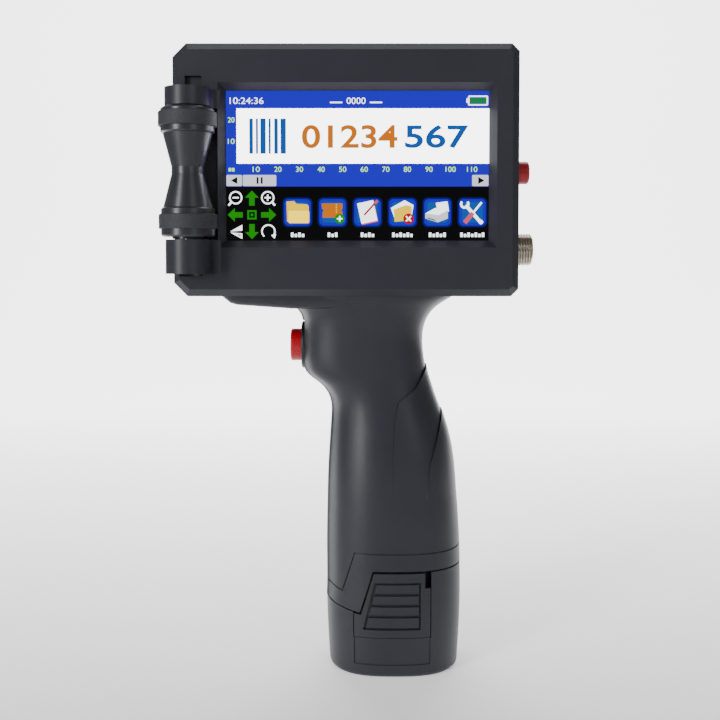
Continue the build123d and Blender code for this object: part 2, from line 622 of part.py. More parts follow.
def connector_nut():
    """Hexagon nut and washer that clamp the round socket from inside."""
    inside = HEAD_RIGHT - WALL
    hexagon = Rot(0, 90, 0) * extrude(RegularPolygon(8.2, 6), amount=2.0)
    nut = Pos(inside - 2.7, SOCKET_Y, PLUG_Z) * hexagon
    nut += rod_x(inside - 0.7, inside - 0.05, SOCKET_Y, PLUG_Z, 8.0)
    return nut - rod_x(30, 50, SOCKET_Y, PLUG_Z, 5.81)


def connector_insert():
    return rod_x(42.6, 45.6, SOCKET_Y, PLUG_Z, 4.85) + rod_x(37.0, 42.6, SOCKET_Y, PLUG_Z, 4.25)


def connector_pins():
    """Four contact pins on a circle."""
    pins = []
    for i in range(4):
        angle = pi / 4 + i * pi / 2
        y, z = SOCKET_Y + 2.4 * cos(angle), PLUG_Z + 2.4 * sin(angle)
        pins.append(rod_x(45.6, 49.8, y, z, 0.5))
    return group(pins)


def usb_shell():
    """Folded steel shell of the memory-stick socket, open at the casing's side."""
    outer = block(31.0, HEAD_RIGHT - 0.2, USB_Y - 2.85, USB_Y + 2.85, USB_Z - 6.7, USB_Z + 6.7)
    return outer - block(31.5, HEAD_RIGHT + 1, USB_Y - 2.45, USB_Y + 2.45, USB_Z - 6.3, USB_Z + 6.3)


def usb_tongue():
    return block(31.5, HEAD_RIGHT - 1.4, USB_Y + 0.25, USB_Y + 2.15, USB_Z - 5.6, USB_Z + 5.6)


def power_switch():
    """Body and threaded neck of the latching power switch."""
    body = rod_x(28.0, 36.0, SOCKET_Y, POWER_Z, 4.6) + rod_x(36.0, HEAD_RIGHT, SOCKET_Y, POWER_Z, 5.0)
    body -= rod_x(40.0, HEAD_RIGHT + 1, SOCKET_Y, POWER_Z, 3.6)
    return body - rod_x(HEAD_RIGHT - 2.1, HEAD_RIGHT + 1, SOCKET_Y, POWER_Z, 4.45)


def power_ring():
    """Flat ring on the switch's neck."""
    ring_body = rod_x(HEAD_RIGHT, HEAD_RIGHT + 1.1, SOCKET_Y, POWER_Z, 6.6)
    return ring_body - rod_x(HEAD_RIGHT - 1, HEAD_RIGHT + 3, SOCKET_Y, POWER_Z, 4.45)


def power_button():
    cap = rod_x(HEAD_RIGHT + 0.3, HEAD_RIGHT + 5.7, SOCKET_Y, POWER_Z, 4.25)
    cap = fillet(cap.edges().group_by(Axis.X)[-1], 0.9)
    return cap + rod_x(HEAD_RIGHT - 2.2, HEAD_RIGHT + 0.4, SOCKET_Y, POWER_Z, 3.3)


def trigger_bezel():
    """Black collar of the trigger's switch, flush against the handle's flat."""
    bezel = rod_x(TRIGGER_FACE - 1.5, TRIGGER_FACE, 0, TRIGGER_Z, 9.1)
    bezel = fillet(bezel.edges().group_by(Axis.X)[0], 0.7)
    bezel += rod_x(TRIGGER_FACE, TRIGGER_FACE + 8.0, 0, TRIGGER_Z, 7.9)
    bezel -= rod_x(TRIGGER_FACE - 3, TRIGGER_FACE + 6.4, 0, TRIGGER_Z, 6.4)
    return bezel - rod_x(TRIGGER_FACE, TRIGGER_FACE + 9, 0, TRIGGER_Z, 1.6)


def trigger_nut():
    """Nut that clamps the trigger's switch inside the handle."""
    nut = rod_x(TRIGGER_FACE + 3.2, TRIGGER_FACE + 5.6, 0, TRIGGER_Z, 9.3)
    return nut - rod_x(TRIGGER_FACE, TRIGGER_FACE + 9, 0, TRIGGER_Z, 7.92)


def trigger_button():
    """Round button that starts a print, with its stem."""
    cap = rod_x(TRIGGER_FACE - 5.7, TRIGGER_FACE + 1.6, 0, TRIGGER_Z, 6.2)
    cap = fillet(cap.edges().group_by(Axis.X)[0], 0.6)
    return cap + rod_x(TRIGGER_FACE + 1.6, TRIGGER_FACE + 6.4, 0, TRIGGER_Z, 1.5)


def trigger_switch():
    """Switch block behind the trigger's barrel."""
    body = block(TRIGGER_FACE + 9.9, TRIGGER_FACE + 19.0, -5.5, 5.5, TRIGGER_Z - 5.5, TRIGGER_Z + 5.5)
    body += rod_x(TRIGGER_FACE + 8.0, TRIGGER_FACE + 9.9, 0, TRIGGER_Z, 6.5)
    return body - rod_x(TRIGGER_FACE + 7.0, TRIGGER_FACE + 10.2, 0, TRIGGER_Z, 2.0)


# ---------------------------------------------------------------- battery
def latch_window(gap):
    """The side-view area that both latch buttons fill."""
    return block(LATCH_X[0] - gap, LATCH_X[1] + gap, -40, 40, LATCH_BOTTOM - gap, 60)


def battery_base():
    """The foot of the battery: a cup with a window in each side for a latch."""
    body = battery_form() & below(SPLIT, shift=SPLIT_GAP)
    body = fillet(body.edges().group_by(Axis.Z)[0], 2.2)
    body -= battery_form(inset=2.2) & block(-50, 50, -50, 50, 2.5, 60)
    # a shallow panel under each latch
    body -= (battery_form() - battery_form(inset=0.3)) & block(*LATCH_X, -40, 40, PANEL_BOTTOM, LATCH_BOTTOM)
    body -= latch_window(0.3)
    for x, y in BASE_SCREWS:
        body -= rod_z(x, y, -1, 1.6, 2.4) + rod_z(x, y, -1, 20, 1.4)
    return body


def battery_stick():
    """Upper half of the battery: the tube round the cells, with the plug that closes the cup."""
    outline, _ = stick_outline(STICK_R)
    core, _ = stick_outline(STICK_R - 1.15)
    plug = battery_form(inset=2.35) & block(-50, 50, -50, 50, 11.0, 60.0) & below(SPLIT, shift=SPLIT_GAP)
    plug -= latch_window(0.6) - battery_form(inset=3.9)
    slot = block(-11.6, -2.4, 17.6, 30.0, 20.0, 60.0)
    plug -= slot + mirror(slot, about=Plane.XZ)
    body = plug + extrude(Pos(0, 0, 4.0) * outline, amount=STICK_TOP - 4.0)
    body += block(-13.0, 13.0, -7.0, 7.0, STICK_TOP - 1.0, STICK_TOP + 7.0)
    body -= extrude(Pos(0, 0, 3.0) * core, amount=STICK_TOP - 4.5)
    for x in TERMINALS:
        body -= block(x - 1.3, x + 1.3, -4.5, 4.5, STICK_TOP - 2.0, STICK_TOP + 9.0)
    for x, y in BASE_SCREWS:
        body -= rod_z(x, y, 10.0, 20.0, 1.0)
    return body


def battery_cells():
    _, centres = stick_outline(STICK_R)
    cells = []
    for x, y in centres:
        can = rod_z(x, y, 3.4, 3.4 + CELL_LENGTH, CELL_R)
        cells.append(fillet(can.edges().filter_by(GeomType.CIRCLE), 0.8))
    return group(cells)


def battery_board():
    """Protection board on top of the cells."""
    outline, _ = stick_outline(STICK_R - 1.6)
    return extrude(Pos(0, 0, 69.2) * outline, amount=1.4)


def battery_terminals():
    """Spring clips that take the handle's blades."""
    clips = []
    for x in TERMINALS:
        clip = block(x - 1.15, x + 1.15, -3.6, 3.6, 70.6, STICK_TOP + 5.0)
        clips.append(clip - block(x - 0.75, x + 0.75, -5, 5, 71.6, STICK_TOP + 6.0))
    return group(clips)


def battery_screws():
    screws = []
    for x, y in BASE_SCREWS:
        head = rod_z(x, y, 0.4, 1.6, 2.2) - Pos(x, y, 0.4) * (Box(2.4, 0.5, 1.0) + Box(0.5, 2.4, 1.0))
        screws.append(head + rod_z(x, y, 1.6, 17.0, 0.98))
    return group(screws)


def latch_button():
    """Spring catch in the battery's near side: ribbed pad, frame, and the tongue behind the handle."""
    skin = battery_form() - battery_form(inset=LATCH_WALL)
    plate = skin & block(*LATCH_X, -40, -12, LATCH_BOTTOM, 60) & below(SPLIT, shift=LATCH_GAP)
    plate -= block(11.1, 20.0, -40, 0, 33.9, 60)
    pad = side_prism([(-7.7, 36.2), (9.4, 36.2), (9.4, 18.4), (-11.9, 18.4)])
    ribs = side_prism([(-6.8, 35.4), (8.8, 35.4), (8.8, 19.3), (-10.8, 19.3)])
    gaps = pad - ribs
    for i in range(1, 4):
        z = 35.4 - 4.1 * i
        gaps += pad & block(-14.0, 9.2, -40, 0, z - 0.1, z + 1.0)
    plate -= gaps - battery_form(inset=1.0)
    tongue = block(-11.0, -3.0, -21.0, -19.2, 24.0, 45.8) + block(-11.0, -3.0, -22.6, -19.2, 24.0, 29.3)
    return plate + tongue + block(-11.0, -3.0, -21.4, -20.0, 42.5, 45.8)


# ---------------------------------------------------------------- inside the handle
def battery_socket():
    """Terminal block at the top of the battery bay."""
    body = block(-16.0, 15.0, -10.0, 10.0, 86.05, 91.0) + block(-12.6, 12.6, -6.6, 6.6, 82.0, 86.1)
    for x in TERMINALS:
        body -= block(x - 0.4, x + 0.4, -3.0, 3.0, 80.0, 97.0)
    return body


def socket_blades():
    return group([block(x - 0.38, x + 0.38, -2.9, 2.9, STICK_TOP - 1.5, 92.0) for x in TERMINALS])


def wire(points, radius, bend=4.0):
    """An insulated wire along a route with rounded corners."""
    route = FilletPolyline(*points, radius=bend)
    section = Plane(origin=route @ 0, z_dir=route % 0) * Circle(radius)
    return sweep(section, path=route)


def battery_leads():
    """Two leads from the battery socket up to the main board."""
    leads = []
    for start, x in ((-8.0, -8.0), (0.0, -4.0)):
        route = [(start, 0.0, 92.1), (x, 2.0, 112.0), (x, -8.0, 130.0), (x, -14.2, 151.2)]
        leads.append(wire(route, 0.8, 8.0))
    return group(leads)


def trigger_leads():
    leads = []
    for y in (-2.5, 2.5):
        z = TRIGGER_Z + 2
        route = [(-14.9, y, z), (-11.5, y, z), (-11.5, y - 4, 138.0), (-11.0 + 0.3 * y, -14.2, 151.2)]
        leads.append(wire(route, 0.6, 2.0))
    return group(leads)


def socket_leads():
    """Leads from the round socket to the main board."""
    leads = []
    for shift in (-1.2, 1.2):
        y, z = SOCKET_Y + shift, PLUG_Z + shift
        leads.append(wire([(36.6, y, z), (31.0, y, z + 2), (27.0 + shift, -14.0, 170.6)], 0.6, 3.0))
    return group(leads)


def display_ribbon():
    """Flat flex from the display to the main board."""
    return block(-30.0, -6.0, -19.75, -19.45, 159.0, 176.0) + block(-30.0, -6.0, -19.75, -18.32, 158.7, 159.0)


# ---------------------------------------------------------------- write the nodes
def build():
    """Every node's name and shape."""
    form = outer_half()
    return {
        "front_shell": front_shell(form), "rear_shell": rear_shell(form), "case_screws": case_screws(),
        "roller_near": roller_hub(), "roller_near_tyres": roller_tyres(),
        "roller_near_axle": roller_axle(153.4),
        "roller_far": mirror(roller_hub(), about=Plane.XZ),
        "roller_far_tyres": mirror(roller_tyres(), about=Plane.XZ),
        "roller_far_axle": mirror(roller_axle(157.5), about=Plane.XZ),
        "roller_bushes": bushes(), "encoder_disc": encoder_disc(), "encoder_sensor": encoder_sensor(),
        "mount_caps": mount_caps(),
        "touch_panel": touch_panel(), "lcd_panel": lcd_panel(), "main_board": main_board(),
        "board_screws": board_screws(), "board_chips": board_chips(), "board_capacitors": board_capacitors(),
        "board_sockets": board_sockets(), "buzzer": buzzer(), "display_ribbon": display_ribbon(),
        "cartridge_stall": cartridge_stall(), "contact_block": contact_block(),
        "contact_pins": contact_pins(),
        "ink_cartridge": ink_cartridge(), "cartridge_cap": cartridge_cap(), "nozzle_strip": nozzle_strip(),
        "nozzle_guard": nozzle_guard(), "guard_screws": guard_screws(),
        "cartridge_clamp": cartridge_clamp(), "clamp_pin": clamp_pin(),
        "cartridge_door": cartridge_door(), "hinge_pin": hinge_pin(),
        "connector_shell": connector_shell(), "connector_nut": connector_nut(),
        "connector_insert": connector_insert(), "connector_pins": connector_pins(),
        "socket_leads": socket_leads(),
        "usb_shell": usb_shell(), "usb_tongue": usb_tongue(),
        "power_switch": power_switch(), "power_ring": power_ring(), "power_button": power_button(),
        "trigger_bezel": trigger_bezel(), "trigger_nut": trigger_nut(), "trigger_button": trigger_button(),
        "trigger_switch": trigger_switch(), "trigger_leads": trigger_leads(),
        "battery_base": battery_base(), "battery_stick": battery_stick(), "battery_cells": battery_cells(),
        "battery_board": battery_board(), "battery_terminals": battery_terminals(),
        "battery_screws": battery_screws(),
        "latch_near": latch_button(), "latch_far": mirror(latch_button(), about=Plane.XZ),
        "battery_socket": battery_socket(), "socket_blades": socket_blades(),
        "battery_leads": battery_leads(),
    }


os.makedirs("parts", exist_ok=True)
for node, shape in build().items():
    export_step(shape, f"parts/{node}.step")
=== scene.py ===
"""Looks of the handheld date coder: a finish for each CAD node, the screen's artwork and a small studio."""
import math

import bmesh
import bpy
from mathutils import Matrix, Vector


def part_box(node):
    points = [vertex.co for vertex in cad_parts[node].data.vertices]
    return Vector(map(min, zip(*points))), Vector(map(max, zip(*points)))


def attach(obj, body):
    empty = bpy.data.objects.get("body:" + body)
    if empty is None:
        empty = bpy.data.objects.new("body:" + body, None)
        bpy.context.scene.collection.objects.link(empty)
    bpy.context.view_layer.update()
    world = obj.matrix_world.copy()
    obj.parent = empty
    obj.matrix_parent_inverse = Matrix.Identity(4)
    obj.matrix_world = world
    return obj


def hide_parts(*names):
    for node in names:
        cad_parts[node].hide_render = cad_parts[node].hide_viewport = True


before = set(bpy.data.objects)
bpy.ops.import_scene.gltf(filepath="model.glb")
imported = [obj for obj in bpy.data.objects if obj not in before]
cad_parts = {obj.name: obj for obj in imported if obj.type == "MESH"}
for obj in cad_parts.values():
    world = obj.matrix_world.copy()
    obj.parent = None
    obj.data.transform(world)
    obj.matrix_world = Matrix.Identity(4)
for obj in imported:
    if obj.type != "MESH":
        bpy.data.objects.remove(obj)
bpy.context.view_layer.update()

MM = 0.001


def middle(node):
    """The middle of a CAD node's box, in mm."""
    low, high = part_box(node)
    return [(a + b) / 2 / MM for a, b in zip(low, high)]


# ---------------------------------------------------------------- driving dimensions, in mm

SCREEN_W, SCREEN_H = 95.04, 53.86             # the lit window, in the middle of the touch panel
PANEL_X, _, PANEL_Z = middle("touch_panel")
SCREEN_LEFT, SCREEN_TOP = PANEL_X - SCREEN_W / 2, PANEL_Z + SCREEN_H / 2
GLASS_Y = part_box("touch_panel")[0][1] / MM    # outer face of the touch panel
LAYER = 0.02                                  # each layer of artwork lies this far in front of the last
ARC_STEP = math.radians(15)                   # between the points of an arc

TILE = 10.7                                   # width of an icon's tile
FIRST_TILE_X, TILE_PITCH, TILE_Y = 25.8, 12.67, 43.7
PAD_X, PAD_Y = 9.25, 44.6                     # centre of the arrow pad
PAD_STEP = 6.0

_, SOCKET_Y, SOCKET_Z = middle("connector_nut")
THREAD_START, THREAD_END = 44.6, 50.9         # along X
THREAD_PITCH, THREAD_CREST, THREAD_ROOT = 1.0, 5.98, 5.5
THREAD_RISE = 3.2                             # how fast a flank rises; 2 would leave no flat crest
RINGS, SIDES = 76, 64                         # how finely the thread is drawn, along it and round it
# x and radius round the rest of the sleeve: mouth, bore, step in the bore, back end and neck
SLEEVE = [(51.4, 5.3), (51.4, 5.0), (51.2, 4.9), (42.5, 4.9), (42.5, 4.3), (36.0, 4.3), (36.0, 5.8),
          (44.5, 5.8)]


# ---------------------------------------------------------------- pieces, colours and node helpers

def add_piece(name, shape, material):
    """An object made of that bmesh, in that material."""
    mesh = bpy.data.meshes.new(name)
    shape.to_mesh(mesh)
    shape.free()
    mesh.materials.append(material)
    piece = bpy.data.objects.new(name, mesh)
    bpy.context.collection.objects.link(piece)
    return piece


def srgb(red, green, blue):
    """Linear colour of an sRGB colour given from 0 to 255."""
    def channel(value):
        part = value / 255
        return part / 12.92 if part <= 0.04045 else ((part + 0.055) / 1.055) ** 2.4
    return (channel(red), channel(green), channel(blue), 1.0)


def new_material(name):
    """A material with only its Principled and output nodes, and the Principled node itself."""
    material = bpy.data.materials.new(name)
    material.use_nodes = True
    return material, material.node_tree.nodes["Principled BSDF"]


def noise(tree, scale, detail=3.0, stretch=(1, 1, 1)):
    """A noise texture on object coordinates, with its features about 1 / scale metres wide."""
    place = tree.nodes.new("ShaderNodeTexCoord")
    mapping = tree.nodes.new("ShaderNodeMapping")
    mapping.inputs["Scale"].default_value = stretch
    texture = tree.nodes.new("ShaderNodeTexNoise")
    texture.inputs["Scale"].default_value = scale
    texture.inputs["Detail"].default_value = detail
    tree.links.new(place.outputs["Object"], mapping.inputs["Vector"])
    tree.links.new(mapping.outputs["Vector"], texture.inputs["Vector"])
    return texture


def spread(tree, texture, low, high):
    """The texture's value spread from low to high; most of the noise lies between 0.3 and 0.7."""
    node = tree.nodes.new("ShaderNodeMapRange")
    node.inputs["From Min"].default_value = 0.3
    node.inputs["From Max"].default_value = 0.7
    node.inputs["To Min"].default_value = low
    node.inputs["To Max"].default_value = high
    tree.links.new(texture.outputs["Fac"], node.inputs["Value"])
    return node.outputs["Result"]


def blend(tree, texture, first, second):
    """A colour that wanders between the two with the texture."""
    node = tree.nodes.new("ShaderNodeMix")
    node.data_type = "RGBA"
    node.inputs["A"].default_value = first
    node.inputs["B"].default_value = second
    tree.links.new(spread(tree, texture, 0.0, 1.0), node.inputs["Factor"])
    return node.outputs["Result"]


def bump(tree, texture, height):
    """A bump of that height, in metres, from the texture."""
    node = tree.nodes.new("ShaderNodeBump")
    node.inputs["Distance"].default_value = height
    node.inputs["Strength"].default_value = 0.6
    tree.links.new(texture.outputs["Fac"], node.inputs["Height"])
    return node.outputs["Normal"]


def finish(name, first, second, roughness, grain, height, metallic=0.0, stretch=(1, 1, 1), **sockets):
    """A surface whose colour and roughness wander, with a fine grain pressed into it.

    grain is the grain's noise scale and height its depth in metres; sockets are set as they are.
    """
    material, shader = new_material(name)
    tree = material.node_tree
    cloud = noise(tree, scale=60.0)
    fine = noise(tree, scale=grain, detail=2.0, stretch=stretch)
    tree.links.new(blend(tree, cloud, first, second), shader.inputs["Base Color"])
    tree.links.new(spread(tree, fine, *roughness), shader.inputs["Roughness"])
    tree.links.new(bump(tree, fine, height), shader.inputs["Normal"])
    shader.inputs["Metallic"].default_value = metallic
    for socket, value in sockets.items():
        shader.inputs[socket.replace("_", " ")].default_value = value
    return material


def brushed(name, first, second, roughness=(0.22, 0.38), stretch=(1, 1, 12)):
    """A metal with fine streaks across its stretched direction."""
    return finish(name, first, second, roughness, grain=900.0, height=0.00001, metallic=1.0, stretch=stretch)


def moulded(name, *colour, roughness=(0.36, 0.46), grain=3200.0, height=0.000012, shine=0.5):
    """A moulded plastic of about that colour."""
    lighter = srgb(*[min(part + 3, 255) for part in colour])
    return finish(name, srgb(*colour), lighter, roughness, grain, height, Specular_IOR_Level=shine)


# ---------------------------------------------------------------- finishes of the CAD nodes

def finishes():
    """One material for each of the record's material slots."""
    return {
        "casing_plastic": moulded("casing_plastic", 37, 37, 45, roughness=(0.36, 0.44), shine=0.35),
        "roller_plastic": moulded("roller_plastic", 34, 34, 41, roughness=(0.28, 0.35), grain=2400.0),
        "dark_rubber": moulded("dark_rubber", 40, 40, 45, roughness=(0.6, 0.78), grain=1800.0,
                               height=0.00003),
        "black_plastic": moulded("black_plastic", 20, 20, 22, roughness=(0.3, 0.42)),
        "red_plastic": moulded("red_plastic", 172, 0, 20, roughness=(0.24, 0.34)),
        "screen_glass": finish("screen_glass", srgb(2, 2, 3), srgb(4, 4, 5), (0.08, 0.14), grain=120.0,
                               height=0.000002, Specular_IOR_Level=0.2),
        "lcd_module": moulded("lcd_module", 178, 182, 186, roughness=(0.3, 0.45)),
        "board_laminate": moulded("board_laminate", 18, 84, 46, roughness=(0.3, 0.5), grain=1500.0),
        "chip_resin": moulded("chip_resin", 24, 24, 26, roughness=(0.45, 0.6)),
        "can_aluminium": brushed("can_aluminium", srgb(190, 192, 196), srgb(206, 208, 210)),
        "header_plastic": moulded("header_plastic", 226, 220, 204, roughness=(0.35, 0.5)),
        "plain_steel": brushed("plain_steel", srgb(150, 152, 156), srgb(172, 174, 178)),
        "bright_nickel": brushed("bright_nickel", srgb(198, 190, 176), srgb(222, 216, 204), (0.14, 0.26)),
        "stainless": brushed("stainless", srgb(168, 170, 172), srgb(188, 190, 192), stretch=(1, 12, 1)),
        "bearing_bronze": brushed("bearing_bronze", srgb(176, 128, 76), srgb(190, 144, 92)),
        "contact_gold": brushed("contact_gold", srgb(214, 168, 84), srgb(228, 188, 106), (0.16, 0.28)),
        "ink_body": moulded("ink_body", 36, 38, 44, roughness=(0.25, 0.4)),
        "ink_cap": moulded("ink_cap", 40, 74, 160, roughness=(0.3, 0.4)),
        "flex_polyimide": moulded("flex_polyimide", 176, 104, 34, roughness=(0.25, 0.38)),
        "cell_can": moulded("cell_can", 52, 120, 168, roughness=(0.28, 0.4)),
        "wire_red": moulded("wire_red", 172, 22, 22, roughness=(0.4, 0.55)),
        "wire_grey": moulded("wire_grey", 128, 130, 134, roughness=(0.4, 0.55)),
    }


def paint_nodes():
    """Gives every CAD node the finish of its own material slot."""
    made = finishes()
    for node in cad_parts.values():
        slot = node.data.materials[0].name.split(".")[0]
        node.data.materials.clear()
        node.data.materials.append(made[slot])


# ---------------------------------------------------------------- outlines, in mm from the screen's corner

def rectangle(left, top, right, bottom):
    """The four corners of an upright rectangle."""
    return [(left, top), (right, top), (right, bottom), (left, bottom)]


def arc(x, y, radius, start, end):
    """Points round a centre, from one angle to the other, in radians."""
    steps = max(2, round(abs(end - start) / ARC_STEP))
    angles = [start + (end - start) * i / steps for i in range(steps + 1)]
    return [(x + radius * math.cos(a), y + radius * math.sin(a)) for a in angles]


def rounded(left, top, right, bottom, radius):
    """A rectangle with round corners."""
    quarter = math.pi / 2
    return (arc(left + radius, top + radius, radius, 2 * quarter, 3 * quarter)
            + arc(right - radius, top + radius, radius, 3 * quarter, 4 * quarter)
            + arc(right - radius, bottom - radius, radius, 0, quarter)
            + arc(left + radius, bottom - radius, radius, quarter, 2 * quarter))


def disc(x, y, radius):
    """A filled circle."""
    return arc(x, y, radius, 0, 2 * math.pi)[:-1]


def band(x, y, radius, width, start=0.0, end=2 * math.pi):
    """The four-sided pieces of a ring, or of part of one."""
    outer = arc(x, y, radius, start, end)
    inner = arc(x, y, radius - width, start, end)
    return [[outer[i], outer[i + 1], inner[i + 1], inner[i]] for i in range(len(outer) - 1)]


def stroke(first, last, width):
    """A straight line of that width."""
    along = Vector(last) - Vector(first)
    side = Vector((-along.y, along.x)).normalized() * width / 2
    ends = [Vector(first) + side, Vector(last) + side, Vector(last) - side, Vector(first) - side]
    return [tuple(point) for point in ends]


def turned(outline, degrees):
    """The outline turned about the origin."""
    c, s = math.cos(math.radians(degrees)), math.sin(math.radians(degrees))
    return [(c * x - s * y, s * x + c * y) for x, y in outline]


def moved(outline, x, y):
    """The outline shifted by that much."""
    return [(px + x, py + y) for px, py in outline]


def number(text, left, top, right, bottom, weight=0.0):
    """The filled pieces of a number, stretched to that rectangle; weight thickens its strokes."""
    curve = bpy.data.curves.new("number", "FONT")
    curve.body = text
    curve.offset = weight
    writer = bpy.data.objects.new("number", curve)
    bpy.context.collection.objects.link(writer)
    graph = bpy.context.evaluated_depsgraph_get()
    mesh = bpy.data.meshes.new_from_object(writer.evaluated_get(graph))
    xs = [v.co.x for v in mesh.vertices]
    ys = [v.co.y for v in mesh.vertices]
    wide = (right - left) / (max(xs) - min(xs))
    tall = (bottom - top) / (max(ys) - min(ys))
    points = [(left + (v.co.x - min(xs)) * wide, bottom - (v.co.y - min(ys)) * tall) for v in mesh.vertices]
    pieces = [[points[i] for i in face.vertices] for face in mesh.polygons]
    bpy.data.objects.remove(writer)
    bpy.data.curves.remove(curve)
    bpy.data.meshes.remove(mesh)
    return pieces


# ---------------------------------------------------------------- what the screen shows

def inked(colour, level, outlines):
    """Those outlines in one colour, on one layer."""
    return [(colour, level, outline) for outline in outlines]


def status_bar():
    """Clock, file bar and battery mark along the top."""
    shapes = [("blue", 1, rectangle(0, 0, SCREEN_W, 34.4))]
    shapes += inked("white", 2, number("10:24:36", 1.4, 2.4, 13.6, 4.7))
    shapes += inked("white", 2, number("0000", 43.6, 2.4, 50.4, 4.7))
    shapes += inked("white", 2, [rectangle(x, 3.9, x + 4.4, 4.4) for x in (37.6, 52.0)])
    shapes += inked("white", 2, [rounded(87.4, 1.7, 94.6, 5.3, 0.5), rectangle(86.8, 2.7, 87.4, 4.3)])
    shapes.append(("blue", 3, rectangle(87.9, 2.2, 94.1, 4.8)))
    shapes += inked("green", 4, [rectangle(88.2 + 1.48 * i, 2.5, 89.4 + 1.48 * i, 4.5) for i in range(4)])
    return shapes


def preview():
    """The print preview: a plain bar pattern and a row of digits on white."""
    shapes = [("paper", 2, rectangle(3.8, 6.3, SCREEN_W, 26.1))]
    left = 8.4
    for wide, gap in ((1.4, 1.0), (0.8, 0.8), (2.0, 1.0), (0.8, 1.2), (1.4, 0.9), (2.0, 1.0)):
        shapes.append(("sky", 3, rectangle(left, 9.9, left + wide, 22.6)))
        left += wide + gap
    shapes += inked("orange", 3, number("01234", 27.4, 12.2, 62.0, 20.6, weight=0.02))
    shapes += inked("sky", 3, number("567", 64.6, 12.2, 87.6, 20.6, weight=0.02))
    return shapes


def rulers():
    """Numbers down the left side and along under the preview."""
    shapes = []
    for text, y in (("20", 10.4), ("10", 18.1)):
        shapes += inked("lime", 2, number(text, 0.7, y - 0.95, 3.1, y + 0.95))
    for i in range(1, 12):
        x = 3.1 + 7.81 * i
        half = 1.3 if i < 10 else 1.85
        shapes += inked("lime", 2, number(str(10 * i), x - half, 27.2, x + half, 29.1))
    return shapes + inked("lime", 2, [rectangle(x, 27.7, x + 0.9, 28.9) for x in (0.9, 2.1)])


def scroll_row():
    """The two arrow buttons, the pause button and the track between them."""
    arrow = [(-1.3, 0.0), (1.0, -1.3), (1.0, 1.3)]
    return [
        ("silver", 2, rounded(0.1, 30.2, 5.7, 34.2, 0.4)),
        ("silver", 2, rounded(6.0, 30.2, 18.1, 34.2, 0.4)),
        ("silver", 2, rounded(89.0, 30.2, 94.9, 34.2, 0.4)),
        ("ink", 3, moved(arrow, 3.0, 32.2)),
        ("ink", 3, moved(turned(arrow, 180), 92.2, 32.2)),
        ("ink", 3, rectangle(11.0, 31.0, 11.7, 33.4)),
        ("ink", 3, rectangle(12.5, 31.0, 13.2, 33.4)),
    ]


def arrow_pad():
    """Four green arrows round a square."""
    arrow = [(0, -2.8), (2.5, -0.2), (1.0, -0.2), (1.0, 2.7), (-1.0, 2.7), (-1.0, -0.2), (-2.5, -0.2)]
    shapes = [("green", 2, rectangle(PAD_X - 1.7, PAD_Y - 1.7, PAD_X + 1.7, PAD_Y + 1.7)),
              ("ink", 3, rectangle(PAD_X - 1.0, PAD_Y - 1.0, PAD_X + 1.0, PAD_Y + 1.0)),
              ("green", 4, disc(PAD_X, PAD_Y, 0.55))]
    for degrees, x, y in ((0, 0, -1), (90, 1, 0), (180, 0, 1), (270, -1, 0)):
        place = (PAD_X + PAD_STEP * x, PAD_Y + PAD_STEP * y)
        shapes.append(("green", 2, moved(turned(arrow, degrees), *place)))
    return shapes


def corner_marks():
    """The two magnifiers, the mirror mark and the turn mark at the arrow pad's corners."""
    shapes = []
    for x, side in ((3.4, -1), (15.0, 1)):
        shapes += inked("white", 2, band(x, 38.4, radius=2.4, width=0.5))
        shapes.append(("white", 2, stroke((x + 1.6 * side, 40.0), (x + 2.6 * side, 41.2), 0.7)))
        shapes.append(("white", 2, rectangle(x - 1.1, 38.15, x + 1.1, 38.65)))
    shapes.append(("white", 3, rectangle(14.75, 37.3, 15.25, 39.5)))
    shapes.append(("white", 2, [(1.4, 50.6), (5.7, 48.2), (5.7, 50.3)]))
    shapes.append(("white", 2, [(1.4, 51.0), (5.7, 51.3), (5.7, 53.3)]))
    shapes.append(("ink", 3, [(3.6, 51.5), (5.1, 51.7), (5.1, 52.5)]))
    open_ring = band(15.2, 50.6, radius=2.6, width=0.5, start=math.radians(130), end=math.radians(410))
    shapes += inked("white", 2, open_ring)
    shapes.append(("white", 2, [(16.2, 51.9), (18.0, 51.6), (17.4, 53.2)]))
    return shapes


def folder_icon():
    """A yellow folder with a pale front."""
    back = [(-4.0, -3.9), (-1.2, -4.1), (-0.5, -3.1), (3.4, -2.9), (4.0, -2.3), (4.2, 3.2), (-3.8, 3.4)]
    return [("yellow", 5, back), ("cream", 6, rounded(-3.3, -0.6, 4.2, 3.9, 0.5))]


def ticket_icon():
    """An orange ticket with a torn line and a green plus."""
    ticket = [(-4.0, -3.2), (3.6, -3.2), (3.6, -1.5), (3.0, -0.8), (3.6, -0.1), (3.6, 1.9), (-3.6, 1.9),
              (-3.6, 0.0), (-3.0, -0.7), (-3.8, -1.4)]
    shapes = [("orange", 5, ticket), ("green", 7, disc(2.6, 2.3, 1.8))]
    shapes += inked("white", 8, [rectangle(1.6, 2.05, 3.6, 2.55), rectangle(2.35, 1.3, 2.85, 3.3)])
    return shapes + inked("yellow", 6, [rectangle(1.2, y, 1.6, y + 0.5) for y in (-3.0, -2.1, -1.2, -0.3)])


def notepad_icon():
    """A white pad, turned a little, with a red pen across it."""
    return [("rose", 5, turned(rectangle(-2.9, -3.5, 3.1, 4.1), -12)),
            ("white", 6, turned(rectangle(-3.0, -3.9, 2.9, 3.6), -12)),
            ("red", 7, stroke((-1.2, 1.0), (2.6, -3.2), 0.7)),
            ("rose", 7, stroke((2.6, -3.2), (3.7, -4.3), 1.0))]


